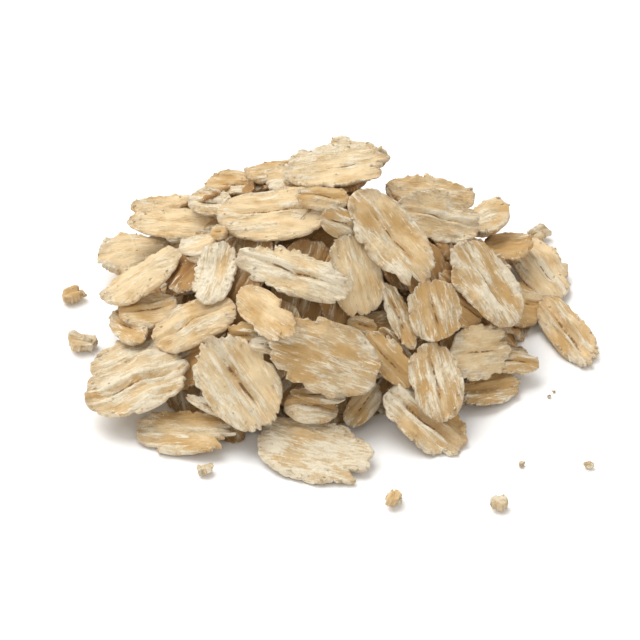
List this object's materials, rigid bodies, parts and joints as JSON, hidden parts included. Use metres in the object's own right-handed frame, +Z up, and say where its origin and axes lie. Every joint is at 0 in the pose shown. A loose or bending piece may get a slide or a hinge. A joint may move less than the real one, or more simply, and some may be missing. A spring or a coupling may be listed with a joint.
{
  "type": "heap of rolled oats",
  "caption": "Loose low heap of large rolled oat flakes lying flat on a surface, with no bowl, fused into one solid out to its uneven edge.",
  "frame": {"origin": "on the surface that the heap lies on, under the middle of the heap", "axes": "+Z up out of the surface, +Y away from the viewer of the picture, +X to that viewer's right"},
  "size_m": [0.0593, 0.0512, 0.0218],
  "materials": {
    "oat_flake": "dull, floury, pale tan rolled grain"
  },
  "bodies": {
    "root": {"rolled_oats": "oat_flake"}
  },
  "joints": []
}
